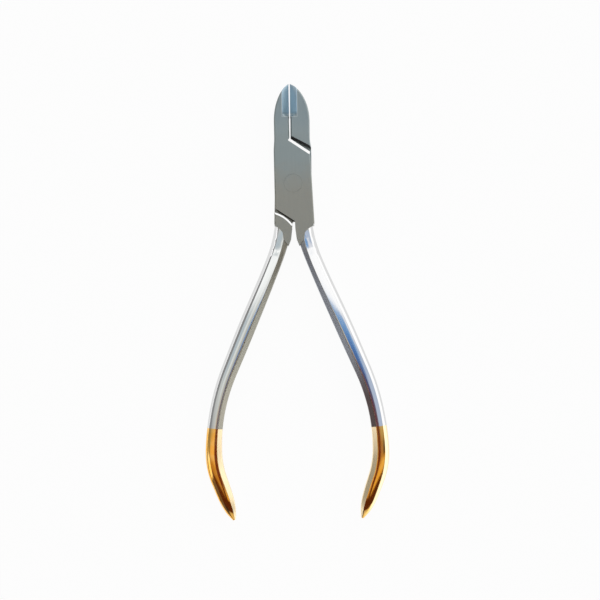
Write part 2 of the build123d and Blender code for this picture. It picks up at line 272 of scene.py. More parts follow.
def triangle_corners(piece: bpy.types.Object) -> np.ndarray:
    """Read the triangles of a piece.

    Args:
        piece: The piece.

    Returns:
        Place and surface direction of each corner in a row of six, by triangle and corner.
    """
    mesh = piece.data
    vertex = np.empty(len(mesh.loops), dtype=np.int32)
    mesh.loops.foreach_get("vertex_index", vertex)
    places = np.empty(len(mesh.vertices) * 3)
    mesh.vertices.foreach_get("co", places)
    normals = np.empty(len(mesh.loops) * 3)
    mesh.corner_normals.foreach_get("vector", normals)
    rows = np.concatenate([places.reshape(-1, 3)[vertex], normals.reshape(-1, 3)], axis=1)
    return rows.reshape(-1, 3, 6)


def clip(corners: np.ndarray, height: np.ndarray) -> np.ndarray:
    """Keep the part of a set of triangles that lies under a plane.

    An edge that crosses the plane is divided in the ratio of the heights of its ends, and the surface
    directions are divided with it. One corner under the plane leaves one triangle, and two leave two. In
    each triangle that is cut, a is the corner that is alone on its side of the plane.

    Args:
        corners: Place and surface direction of each corner, by triangle and corner.
        height: Height of each corner over the plane.

    Returns:
        The triangles that are left, in the same form.
    """
    under = height <= 0
    kept = [corners[under.all(axis=1)]]
    for count in (1, 2):
        crossing = under.sum(axis=1) == count
        lone = np.argmax(under[crossing] == (count == 1), axis=1)
        order = (lone[:, None] + np.arange(3)) % 3
        a, b, c = np.take_along_axis(corners[crossing], order[..., None], axis=1).swapaxes(0, 1)
        at_a, at_b, at_c = np.take_along_axis(height[crossing], order, axis=1).T[..., None]
        cut_b = a + (b - a) * (at_a / (at_a - at_b))
        cut_c = a + (c - a) * (at_a / (at_a - at_c))
        if count == 1:
            kept.append(np.stack([a, cut_b, cut_c], axis=1))
        else:
            kept.append(np.stack([cut_b, b, c], axis=1))
            kept.append(np.stack([cut_b, c, cut_c], axis=1))
    return np.concatenate(kept)


@dataclass(frozen=True)
class HandleForm:
    """Handle as an eight-sided section with crowned faces and round corners, carried along its path.

    Sizes are millimetres and degrees. The rear half is the front one turned half round the Y axis. The
    crowned faces are the broad and the outer ones, counted clockwise from the front inner bevel.
    """

    side: Side
    path: HandlePath = HANDLE
    stations: tuple[Station, ...] = STATIONS
    outer_band: float = 0.26
    outer_wall: float = 0.45
    crown: float = 0.035
    crowned_faces: tuple[int, ...] = (1, 2, 4, 5)
    corner: float = 0.09
    half_opening: float = 0.4
    root_cut: float = 10.0
    root_overlap: float = 0.05
    cut_tolerance: float = 0.0001
    plated_length: float = 28.5
    step: float = 0.5
    round_count: int = 6
    face_count: int = 12

    def sizes(self, distance: np.ndarray) -> np.ndarray:
        """Sizes of the section between the stations.

        Each size is a cubic curve through the stations, and its slope at a station is the mean slope between
        the neighbours.

        Args:
            distance: Distances along the path.

        Returns:
            One row for each distance, with the sizes in the order of a station's fields.
        """
        table = np.array([astuple(station) for station in self.stations])
        places, values = table[:, 0], table[:, 1:]
        last = len(places) - 1
        before = np.maximum(np.arange(last + 1) - 1, 0)
        after = np.minimum(np.arange(last + 1) + 1, last)
        slopes = (values[after] - values[before]) / (places[after] - places[before])[:, None]
        low = np.clip(np.searchsorted(places, distance, side="right") - 1, 0, last - 1)
        span = (places[low + 1] - places[low])[:, None]
        share = (distance - places[low])[:, None] / span
        rest = 1.0 - share
        ends = values[low] * (1 + 2 * share) * rest**2 + values[low + 1] * share**2 * (3 - 2 * share)
        return ends + span * (slopes[low] * share * rest**2 - slopes[low + 1] * share**2 * rest)

    def corners(self, distance: np.ndarray) -> tuple[np.ndarray, np.ndarray]:
        """Sharp corners of the section, clockwise from the inner wall's top, and its width.

        Args:
            distance: Distances along the path.

        Returns:
            The corners as x outwards and y to the front, and the width at each distance.
        """
        width, thickness, outset, inner_band, inner_wall, outer_ridge = self.sizes(distance).T
        half = thickness / 2
        inner = outset - width / 2
        outer = outset + width / 2
        x = np.stack([inner, inner + inner_band * width, outer - self.outer_band * width, outer], axis=1)
        y = np.stack([half * inner_wall, half, half * outer_ridge, half * self.outer_wall], axis=1)
        upper = np.stack([x, y], axis=2)
        lower = upper[:, ::-1] * np.array([1.0, -1.0])
        return np.concatenate([upper, lower], axis=1), width

    def outline(self, distance: np.ndarray) -> np.ndarray:
        """Rounded outline of the section.

        Each corner is a circular arc between the tangents of its two faces. Each face is a cubic curve
        between two arcs with the same tangents. They lean out by four times the crown, as a parabola's do.

        Args:
            distance: Distances along the path.

        Returns:
            Points by distance and by place round the outline.
        """
        corner, width = self.corners(distance)
        along = unit(np.roll(corner, -1, axis=1) - corner)
        outward = np.stack([-along[..., 1], along[..., 0]], axis=-1)
        lean = np.zeros((SECTION_SIDES, 1))
        lean[list(self.crowned_faces)] = 4 * self.crown
        leave = unit(along + lean * outward)
        arrive = np.roll(unit(along - lean * outward), 1, axis=1)
        cosine = np.sum(arrive * leave, axis=-1, keepdims=True)
        reach = self.corner * width[:, None, None] * np.sqrt((1 - cosine) / (1 + cosine))
        begin, finish = corner - arrive * reach, corner + leave * reach
        arcs = arc_points(begin, corner, finish, self.round_count)
        next_begin, next_arrive = np.roll(begin, -1, axis=1), np.roll(arrive, -1, axis=1)
        faces = face_points(finish, leave, next_begin, next_arrive, self.face_count)
        return np.concatenate([arcs, faces], axis=2).reshape(len(distance), -1, 2)

    def at_rest(self, x: np.ndarray, y: np.ndarray, height: np.ndarray) -> np.ndarray:
        """Bring places of the front half's closed pose to this half's rest pose.

        Args:
            x: Places along X.
            y: Places along Y.
            height: Heights over the mid plane.

        Returns:
            Points in metres.
        """
        side = self.side.value
        turn = math.radians(self.half_opening) * side
        turned_x = x * side * math.cos(turn) - y * math.sin(turn)
        turned_y = x * side * math.sin(turn) + y * math.cos(turn)
        return np.stack([turned_x, turned_y, MID_PLANE_Z + height * side], axis=-1) * MM

    def tube(self, start: float, end: float) -> Skin:
        """Skin of the handle between two distances, closed at both ends.

        The outline is carried square to the path: x outwards from the centre line, y to the front. The
        surface direction is the cross product of the steps along the handle and round the outline.

        Args:
            start: Distance of the first section.
            end: Distance of the last section.

        Returns:
            The skin.
        """
        distance = np.linspace(start, end, round((end - start) / self.step) + 1)
        outline = self.outline(distance)
        place_x, place_y, heading = (values[:, None] for values in self.path.follow(distance))
        x = place_x + np.cos(heading) * outline[..., 0]
        y = place_y + np.sin(heading) * outline[..., 0]
        grid = self.at_rest(x, y, outline[..., 1])
        rows, columns = grid.shape[:2]
        around = (np.roll(grid, -1, axis=1) - np.roll(grid, 1, axis=1)) / 2
        normals = unit(np.cross(np.gradient(grid, axis=0), around))
        index = np.arange(rows * columns).reshape(rows, columns)
        beside = np.roll(index, -1, axis=1)
        quads = np.stack([index[:-1], index[1:], beside[1:], beside[:-1]], axis=-1)
        back = np.tile(unit(grid[0].mean(axis=0) - grid[1].mean(axis=0)), (columns, 1))
        way = np.tile(unit(grid[-1].mean(axis=0) - grid[-2].mean(axis=0)), (columns, 1))
        cap = np.arange(columns) + rows * columns
        return Skin(
            np.concatenate([grid.reshape(-1, 3), grid[0], grid[-1]]),
            np.concatenate([normals.reshape(-1, 3), back, way]),
            np.concatenate([quads.ravel(), cap, (cap + columns)[::-1]]),
            np.concatenate([np.full(quads.size // 4, 4), [columns, columns]]),
        )

    def forging(self, node: str, seam: Skin) -> Skin:
        """Skin of the lever's joint and root, cut off square across the handle.

        On the cut, the surface directions are those of the nearest points of the handle's first section.

        Args:
            node: Name of the lever.
            seam: Skin of the handle that goes on from the cut.

        Returns:
            The skin up to the cut.
        """
        x, y, _ = self.path.follow(np.array([self.root_cut, self.root_cut + self.step]))
        here, there = self.at_rest(x, y, np.zeros(2))
        way = unit(there - here)
        corners = triangle_corners(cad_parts[node])
        rows = clip(corners, (corners[..., :3] - here) @ way).reshape(-1, 6)
        points, normals = rows[:, :3], unit(rows[:, 3:])
        on_cut = np.flatnonzero(np.abs((points - here) @ way) < self.cut_tolerance * MM)
        section = SECTION_SIDES * (self.round_count + self.face_count)
        apart = np.linalg.norm(points[on_cut, None] - seam.points[None, :section], axis=2)
        normals[on_cut] = seam.normals[apart.argmin(axis=1)]
        return Skin(points, normals, np.arange(len(points)), np.full(len(points) // 3, 3))

    def build(self, lever: str, plating: str) -> tuple[bpy.types.Object, bpy.types.Object]:
        """Make the lever and its gold end with finely divided handles.

        Args:
            lever: Name of the lever's node.
            plating: Name of the plating's node.

        Returns:
            The two objects.
        """
        border = self.path.length - self.plated_length
        handle = self.tube(self.root_cut - self.root_overlap, border)
        steel = self.forging(lever, handle).joined(handle)
        gold = self.tube(border, self.path.length)
        return steel.piece(f"{lever}_skin"), gold.piece(f"{plating}_skin")


class Value:
    """A number socket of a node tree that takes part in Python expressions."""

    def __init__(self, graph: "Graph", socket: bpy.types.NodeSocket) -> None:
        """Keep the graph and the socket."""
        self.graph = graph
        self.socket = socket

    def _math(self, operation: str, *values: "Value | float") -> "Value":
        """Add a Math node.

        Args:
            operation: Name of the Math node's operation.
            values: Inputs in order.

        Returns:
            The node's result.
        """
        inputs = dict(enumerate(values))
        return self.graph.value("ShaderNodeMath", {"operation": operation}, inputs)

    def __add__(self, other: "Value | float") -> "Value":
        """Sum."""
        return self._math("ADD", self, other)

    __radd__ = __add__

    def __sub__(self, other: "Value | float") -> "Value":
        """Difference."""
        return self._math("SUBTRACT", self, other)

    def __rsub__(self, other: float) -> "Value":
        """Difference from a number."""
        return self._math("SUBTRACT", other, self)

    def __mul__(self, other: "Value | float") -> "Value":
        """Product."""
        return self._math("MULTIPLY", self, other)

    __rmul__ = __mul__

    def __truediv__(self, other: "Value | float") -> "Value":
        """Quotient."""
        return self._math("DIVIDE", self, other)

    def __abs__(self) -> "Value":
        """Size without sign."""
        return self._math("ABSOLUTE", self)

    def __or__(self, other: "Value | float") -> "Value":
        """Larger of two masks."""
        return self._math("MAXIMUM", self, other)

    def __and__(self, other: "Value | float") -> "Value":
        """Smaller of two masks."""
        return self._math("MINIMUM", self, other)

    def rise(self, low: float, high: float) -> "Value":
        """Mask that rises smoothly from 0 at low to 1 at high.

        Args:
            low: Value at which the mask starts.
            high: Value at which the mask is full.

        Returns:
            The mask.
        """
        settings = {"interpolation_type": "SMOOTHSTEP"}
        inputs = {"Value": self, "From Min": low, "From Max": high}
        return self.graph.value("ShaderNodeMapRange", settings, inputs)

    def fall(self, low: float, high: float) -> "Value":
        """Mask that falls smoothly from 1 at low to 0 at high."""
        return 1.0 - self.rise(low, high)

    def between(self, start: float, end: float, blur: float) -> "Value":
        """Mask of a band.

        Args:
            start: Lower edge of the band.
            end: Upper edge of the band.
            blur: Width over which each edge fades.

        Returns:
            The mask.
        """
        half = blur / 2
        return self.rise(start - half, start + half) & self.fall(end - half, end + half)

    def about(self, mean: "Value | float", width: float) -> "Value":
        """Noise from 0 to 1 brought to a mean and a width."""
        return mean + (self - 0.5) * width


class Graph:
    """A node tree under construction."""

    def __init__(self, tree: bpy.types.NodeTree) -> None:
        """Empty the tree and keep it."""
        tree.nodes.clear()
        self.tree = tree

    def node(self, kind: str, settings: dict[str, Any], inputs: dict[int | str, Any]) -> bpy.types.Node:
        """Add a node, set it up and feed its sockets.

        Args:
            kind: Type of the node.
            settings: The node's own properties, set before its sockets.
            inputs: Numbers, colours, vectors, Values or sockets by the input's name or place.

        Returns:
            The node.
        """
        node = self.tree.nodes.new(kind)
        for name, setting in settings.items():
            setattr(node, name, setting)
        for key, given in inputs.items():
            socket = node.inputs[key]
            source = given.socket if isinstance(given, Value) else given
            if isinstance(source, bpy.types.NodeSocket):
                self.tree.links.new(source, socket)
            else:
                socket.default_value = source
        return node

    def value(self, kind: str, settings: dict[str, Any], inputs: dict[int | str, Any]) -> Value:
        """Add a node and take its first output as a number.

        Args:
            kind: Type of the node.
            settings: The node's own properties.
            inputs: What its sockets are fed.

        Returns:
            The output.
        """
        return Value(self, self.node(kind, settings, inputs).outputs[0])

    def split(self, vector: bpy.types.NodeSocket) -> tuple[Value, Value, Value]:
        """Take a vector apart into x, y and z."""
        parts = self.node("ShaderNodeSeparateXYZ", {}, {0: vector}).outputs
        return tuple(Value(self, part) for part in parts)

    def scaled(self, vector: bpy.types.NodeSocket, factors: Waves) -> bpy.types.NodeSocket:
        """Multiply a vector by a factor for each axis."""
        inputs = {0: vector, 1: factors}
        return self.node("ShaderNodeVectorMath", {"operation": "MULTIPLY"}, inputs).outputs[0]

    def millimetres(self) -> bpy.types.NodeSocket:
        """Place on the piece in millimetres, as a vector."""
        place = self.node("ShaderNodeTexCoord", {}, {}).outputs["Object"]
        return self.scaled(place, (PER_MM, PER_MM, PER_MM))

    def object_place(self) -> tuple[Value, Value, Value]:
        """Place on the piece in millimetres, as x, y and z."""
        return self.split(self.millimetres())

    def object_normal(self) -> tuple[Value, Value, Value]:
        """Direction of the surface in the piece's own axes, as x, y and z."""
        return self.split(self.node("ShaderNodeTexCoord", {}, {}).outputs["Normal"])

    def noise(self, waves: Waves) -> Value:
        """Soft noise from 0 to 1 over the piece.

        Args:
            waves: Waves to the millimetre along x, y and z.

        Returns:
            The noise.
        """
        inputs = {"Vector": self.scaled(self.millimetres(), waves), "Scale": 1.0, "Detail": 2.0}
        return self.value("ShaderNodeTexNoise", {}, inputs)

    def mix(self, share: Value | float, first: Any, second: Any) -> bpy.types.NodeSocket:
        """Mix two colours.

        Args:
            share: Share of the second colour.
            first: Colour or socket at a share of 0.
            second: Colour or socket at a share of 1.

        Returns:
            Socket of the mixed colour.
        """
        node = self.node("ShaderNodeMix", {"data_type": "RGBA"}, {"Factor": share})
        ends = [socket for socket in node.inputs if socket.name in ("A", "B") and socket.type == "RGBA"]
        for socket, given in zip(ends, (first, second)):
            if isinstance(given, bpy.types.NodeSocket):
                self.tree.links.new(given, socket)
            else:
                socket.default_value = (*given, 1.0)
        return next(socket for socket in node.outputs if socket.type == "RGBA")

    def tint(self, colour: Any, share: Value) -> bpy.types.NodeSocket:
        """Darken or lighten a colour by a factor.

        Args:
            colour: Colour or socket.
            share: Factor for all three channels.

        Returns:
            Socket of the tinted colour.
        """
        inputs = {0: colour, "Scale": share}
        return self.node("ShaderNodeVectorMath", {"operation": "SCALE"}, inputs).outputs[0]

    def bump(self, height: Value, depth: float) -> bpy.types.NodeSocket:
        """Surface direction over a fine relief.

        Args:
            height: Relief from 0 to 1.
            depth: Height of the relief in metres.

        Returns:
            Socket of the direction.
        """
        inputs = {"Height": height, "Distance": depth, "Strength": 1.0}
        return self.node("ShaderNodeBump", {}, inputs).outputs[0]

    def metal(self, colour: Any, roughness: Value, normal: bpy.types.NodeSocket) -> None:
        """Finish the tree as bare metal.

        Args:
            colour: Socket of the reflected colour.
            roughness: Roughness over the surface.
            normal: Socket of the surface direction.
        """
        inputs = {"Base Color": colour, "Metallic": 1.0, "Roughness": roughness, "Normal": normal}
        shader = self.node("ShaderNodeBsdfPrincipled", {}, inputs)
        self.node("ShaderNodeOutputMaterial", {}, {"Surface": shader.outputs[0]})


def new_material(name: str) -> tuple[bpy.types.Material, Graph]:
    """Make an empty material.

    Args:
        name: Name of the material.

    Returns:
        The material and its graph.
    """
    material = bpy.data.materials.new(name)
    material.use_nodes = True
    return material, Graph(material.node_tree)


@dataclass(frozen=True)
class PaintedHandleTones:
    """What differs between the two handles: where the inner side turns dull, and painted tones for the
    different light they reflect.

    bevel_start and flank_start are the leans of the surface, inwards and outwards, from which the inner side
    is dull and the gold's outer flank is painted pale as a reflection. grip and bow are the painted tones of
    the inner side along these two runs, standing in for the light and shade it reflects.
    """

    bevel_start: float
    flank_start: float
    grip: Colour
    bow: Colour


# Painted reflection and shade: steel and gold are the same on both handles, and these tones paint in what
# each one reflects.
TONES: dict[Side, PaintedHandleTones] = {
    Side.FRONT: PaintedHandleTones(0.08, 0.35, grip=(0.38, 0.41, 0.46), bow=(0.13, 0.10, 0.10)),
    Side.REAR: PaintedHandleTones(0.01, 0.78, grip=(0.38, 0.37, 0.315), bow=(0.43, 0.41, 0.345)),
}


@dataclass(frozen=True)
class SatinSteel:
    """Brushed stainless steel with a painted tint, cooler towards the jaws and warmer at the joint: painted
    reflection of the cooler light the jaws' tilted faces take.

    The tint changes over a span of Y, which faint clouds move up and down by half of cloud_width. These are
    in millimetres. The other widths are those of the streaks in tint and in roughness.
    """

    cool: Colour = (0.305, 0.35, 0.35)
    warm: Colour = (0.325, 0.325, 0.29)
    tint_shift: Span = (-4.0, 9.0)
    cloud_width: float = 8.0
    clouds: Waves = (0.3, 0.3, 0.3)
    streaks: Waves = (3.0, 0.12, 3.0)
    grain: Waves = (14.0, 14.0, 14.0)
    grain_share: float = 0.6
    tint_width: float = 0.12
    gloss_width: float = 0.06
    roughness: float = 0.40
    relief: float = 0.006 * MM

    def colour(self, graph: Graph) -> bpy.types.NodeSocket:
        """Painted tint of the steel, cooler towards the jaws as a painted reflection, with faint clouds.

        Args:
            graph: Graph of the material.

        Returns:
            Socket of the colour.
        """
        _, y, _ = graph.object_place()
        # Painted reflection: cooler tint where Y reaches towards the jaws.
        cool = graph.noise(self.clouds).about(y, self.cloud_width).rise(*self.tint_shift)
        return graph.mix(cool, self.warm, self.cool)

    def brush(self, graph: Graph, colour: Any, roughness: Value | float, satin: Value | float) -> None:
        """Finish a tree as steel with streaks along the tool and fine grain.

        Args:
            graph: Graph of the material.
            colour: Socket of the steel's colour.
            roughness: Roughness before the streaks.
            satin: Mask of the relief.
        """
        streaks = graph.noise(self.streaks)
        height = graph.noise(self.grain) * self.grain_share + streaks * (1.0 - self.grain_share)
        tinted = graph.tint(colour, streaks.about(1.0, self.tint_width))
        normal = graph.bump(height * satin, self.relief)
        graph.metal(tinted, streaks.about(roughness, self.gloss_width), normal)


@dataclass(frozen=True)
class LeverSteel:
    """Stainless steel of a lever: satin joint, jaws and inner bands, polished handles and notch bevels.

    A span is where a mask starts and where it ends. Reaches, ends, heights and bands are millimetres, and
    the bands are measured across the handle outwards and along it from its start. Leans and aims are parts
    of the surface direction: a lean is along Z or to the handle's side, and an aim is along Y.
    """

    side: Side
    tones: PaintedHandleTones
    satin: SatinSteel = SatinSteel()
    polish: Colour = (0.73, 0.73, 0.73)
    polish_roughness: float = 0.065
    # Painted shade: colour of the dark rim line on the outer wall.
    wall: Colour = (0.34, 0.36, 0.36)
    # Painted shadow of the narrow notch gaps.
    notch_shadow: Colour = (0.10, 0.098, 0.09)
    flat_height: Span = (3.165, 3.185)
    joint_end: Span = (-12.4, -12.0)
    handle_reach: Span = (-19.2, -15.2)
    tone_shift: Span = (-66.0, -48.0)
    satin_blur: float = 0.08
    tone_blur: float = 0.12
    wall_lean: Span = (-0.98, -0.84)
    notch_reach: Span = (14.3, 14.5)
    notch_bevel_lean: Span = (0.84, 0.97)
    notch_bevel_blur: float = 0.02
    notch_bevel_aim: Span = (0.12, 0.2)
    notch_wall_lean: Span = (0.78, 0.84)
    notch_wall_aim: Span = (-0.5, -0.3)
    band_edge: float = -1.3
    band_blur: Span = (-0.08, 0.08)
    band_end: Span = (30.0, 34.0)
    root_band: float = 1.2
    root_band_end: Span = (2.0, 10.0)

    def inner_band(self, graph: Graph) -> Value:
        """Satin band along the inner edge of the handle, wider at the root.

        Args:
            graph: Graph of the material.

        Returns:
            Mask of the band.
        """
        x, y, _ = graph.object_place()
        splay = math.radians(HANDLE.splay)
        aside = x * self.side.value - HANDLE.start[0]
        down = HANDLE.start[1] - y
        across = aside * math.cos(splay) - down * math.sin(splay)
        along = aside * math.sin(splay) + down * math.cos(splay)
        edge = self.band_edge + self.root_band * along.fall(*self.root_band_end)
        return (edge - across).rise(*self.band_blur) & along.fall(*self.band_end)

    def satin_mask(self, graph: Graph) -> Value:
        """Where the steel is satin: the flat faces, the joint and jaws, and the handle's inner side.

        Args:
            graph: Graph of the material.

        Returns:
            Mask of the satin finish.
        """
        _, y, z = graph.object_place()
        normal_x, normal_y, normal_z = graph.object_normal()
        flat = abs(z - MID_PLANE_Z).rise(*self.flat_height)
        joint = y.rise(*self.joint_end)
        start = self.tones.bevel_start
        inner_side = (normal_x * -self.side.value).rise(start, start + self.satin_blur)
        tilted = abs(normal_z).between(*self.notch_bevel_lean, self.notch_bevel_blur)
        notch_bevel = tilted & abs(normal_y).rise(*self.notch_bevel_aim) & abs(y).fall(*self.notch_reach)
        return (flat | joint | inner_side | self.inner_band(graph)) & (1.0 - notch_bevel)

    def painted_shade_and_reflection(self, graph: Graph, finished: bpy.types.NodeSocket) -> bpy.types.NodeSocket:
        """Paint shade and reflection on the finished steel: per-side tones on the handle's inner side for
        the light it reflects, a dark rim on the outer wall, and painted shadow on the notch walls.

        Args:
            graph: Graph of the material.
            finished: Colour of the finished steel.

        Returns:
            Socket of the colour.
        """
        _, y, _ = graph.object_place()
        normal_x, normal_y, normal_z = graph.object_normal()
        inward = normal_x * -self.side.value
        handle = y.fall(*self.handle_reach)
        start = self.tones.bevel_start
        # Painted reflection and shade on the inner side, changing from grip to bow, set per side.
        tone = graph.mix(y.rise(*self.tone_shift), self.tones.bow, self.tones.grip)
        colour = graph.mix(inward.rise(start, start + self.tone_blur) & handle, finished, tone)
        # Painted shade: the outer wall is darkened to a rim line.
        colour = graph.mix(inward.fall(*self.wall_lean) & handle, colour, self.wall)
        # Painted shadow: walls facing -Y in the notches are painted near black, in place of the shade of the
        # narrow gaps.
        upright = normal_y.fall(*self.notch_wall_aim) & abs(normal_z).fall(*self.notch_wall_lean)
        return graph.mix(upright & abs(y).fall(*self.notch_reach), colour, self.notch_shadow)

    def material(self) -> bpy.types.Material:
        """Make the steel.

        Returns:
            The material.
        """
        material, graph = new_material(f"{self.side.name.lower()}_lever_steel")
        satin = self.satin_mask(graph)
        colour = graph.mix(satin, self.polish, self.satin.colour(graph))
        roughness = self.polish_roughness + satin * (self.satin.roughness - self.polish_roughness)
        self.satin.brush(graph, self.painted_shade_and_reflection(graph, colour), roughness, satin)
        return material


@dataclass(frozen=True)
class FlushSteel:
    """Satin steel of the rivet, ground flush with the joint."""

    satin: SatinSteel = SatinSteel()

    def material(self) -> bpy.types.Material:
        """Make the steel.

        Returns:
            The material.
        """
        material, graph = new_material("rivet_steel")
        self.satin.brush(graph, self.satin.colour(graph), self.satin.roughness, 1.0)
        return material


@dataclass(frozen=True)
class GroundCarbide:
    """Tungsten carbide of the inserts, with fine grinding lines across the edge.

    heel_shift is the span of Y, in millimetres, over which an insert's darker heel, painted shade that dims
    the highlights at its lower end, changes to the ground tone.
    """

    colour: Colour = (0.48, 0.60, 0.67)
    # Painted shade of the insert's heel.
    heel: Colour = (0.30, 0.36, 0.38)
    heel_shift: Span = (20.4, 21.8)
    lines: Waves = (0.4, 9.0, 9.0)
    tint_width: float = 0.16
    gloss_width: float = 0.1
    roughness: float = 0.38
    relief: float = 0.003 * MM

    def material(self) -> bpy.types.Material:
        """Make the carbide.

        Returns:
            The material.
        """
        material, graph = new_material("ground_carbide")
        _, y, _ = graph.object_place()
        lines = graph.noise(self.lines)
        # Painted shade: the heel is darkened so that the insert's lower end shows no highlights.
        colour = graph.mix(y.rise(*self.heel_shift), self.heel, self.colour)
        colour = graph.tint(colour, lines.about(1.0, self.tint_width))
        graph.metal(colour, lines.about(self.roughness, self.gloss_width), graph.bump(lines, self.relief))
        return material


@dataclass(frozen=True)
class SilverBraze:
    """Silver braze between an insert and its seat."""

    colour: Colour = (0.62, 0.63, 0.58)
    clouds: Waves = (4.0, 4.0, 4.0)
    tint_width: float = 0.3
    gloss_width: float = 0.2
    roughness: float = 0.34
    relief: float = 0.01 * MM

    def material(self) -> bpy.types.Material:
        """Make the braze.

        Returns:
            The material.
        """
        material, graph = new_material("silver_braze")
        clouds = graph.noise(self.clouds)
        colour = graph.tint(self.colour, clouds.about(1.0, self.tint_width))
        graph.metal(colour, clouds.about(self.roughness, self.gloss_width), graph.bump(clouds, self.relief))
        return material


@dataclass(frozen=True)
class GoldPlate:
    """Bright gold plating, satin over the handle's inner bevel, with its outer flank painted pale as a
    reflection.

    Leans are measured outwards, as parts of the surface direction.
    """

    side: Side
    tones: PaintedHandleTones
    deep: Colour = (0.97, 0.52, 0.11)
    light: Colour = (0.98, 0.62, 0.22)
    satin: Colour = (1.0, 0.81, 0.52)
    flank: Colour = (0.98, 0.83, 0.54)
    # Painted shade: colour of the olive rim line on the gold's outer wall.
    wall: Colour = (0.60, 0.54, 0.36)
    satin_lean: Span = (-0.45, -0.25)
    flank_blur: float = 0.2
    wall_lean: Span = (0.88, 0.98)
    clouds: Waves = (0.35, 0.35, 0.35)
    cloud_mix: Span = (0.35, 0.75)
    lines: Waves = (5.0, 0.5, 5.0)
    gloss_width: float = 0.06
    roughness: float = 0.09
    satin_roughness: float = 0.30
    relief: float = 0.002 * MM

    def material(self) -> bpy.types.Material:
        """Make the gold.

        Returns:
            The material.
        """
        material, graph = new_material(f"{self.side.name.lower()}_gold")
        normal_x, _, _ = graph.object_normal()
        outward = normal_x * self.side.value
        satin = outward.fall(*self.satin_lean)
        # Painted reflection: the outer flank is painted pale from a lean that is set per side.
        start = self.tones.flank_start
        painted_flank = outward.rise(start, start + self.flank_blur)
        bright = graph.mix(graph.noise(self.clouds).rise(*self.cloud_mix), self.deep, self.light)
        colour = graph.mix(painted_flank, graph.mix(satin, bright, self.satin), self.flank)
        # Painted shade: the gold's outer wall is darkened to a rim line.
        colour = graph.mix(outward.rise(*self.wall_lean), colour, self.wall)
        lines = graph.noise(self.lines)
        roughness = self.roughness + satin * (self.satin_roughness - self.roughness)
        graph.metal(colour, lines.about(roughness, self.gloss_width), graph.bump(lines, self.relief))
        return material


def finish_piece(piece: bpy.types.Object, material: bpy.types.Material) -> None:
    """Give a piece its only material.

    Args:
        piece: The piece.
        material: Its finish.
    """
    piece.data.materials.clear()
    piece.data.materials.append(material)
    log.info("%s: %s", piece.name, material.name)


@dataclass
class ToolHalf:
    """One lever with its insert, braze and gold plated end."""

    side: Side
    carbide: bpy.types.Material
    braze: bpy.types.Material

    def dress(self) -> None:
        """Replace the lever and its plating by finely divided ones, and finish the four pieces."""
        name = self.side.name.lower()
        tones = TONES[self.side]
        lever, plating = f"{name}_lever", f"{name}_gold_plating"
        steel, gold = HandleForm(self.side).build(lever, plating)
        finish_piece(steel, LeverSteel(self.side, tones).material())
        finish_piece(gold, GoldPlate(self.side, tones).material())
        for piece, node, slot in ((steel, lever, "steel"), (gold, plating, "gold")):
            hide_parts(node)
            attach(piece, f"{name}_half")
        finish_piece(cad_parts[f"{name}_carbide_insert"], self.carbide)
        finish_piece(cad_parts[f"{name}_insert_braze"], self.braze)


@dataclass(frozen=True)
class Panel:
    """A soft-edged rectangle of the dome, as slopes across and along the tool from straight overhead.

    The rectangle is turned about the zenith by an angle in degrees, so that it can lie square to a handle.
    """

    colour: Colour
    across: Span
    along: Span
    blur: Span
    turn: float = 0.0

    def lay(self, graph: Graph, place: tuple[Value, Value], behind: Any) -> bpy.types.NodeSocket:
        """Lay the panel over the dome.

        Args:
            graph: Graph of the world.
            place: Slopes across and along of a direction.
            behind: Colour behind the panel.

        Returns:
            Socket of the colour with the panel.
        """
        turn = math.radians(self.turn)
        across = place[0] * math.cos(turn) + place[1] * math.sin(turn)
        along = place[1] * math.cos(turn) - place[0] * math.sin(turn)
        mask = across.between(*self.across, self.blur[0]) & along.between(*self.along, self.blur[1])
        return graph.mix(mask, behind, self.colour)


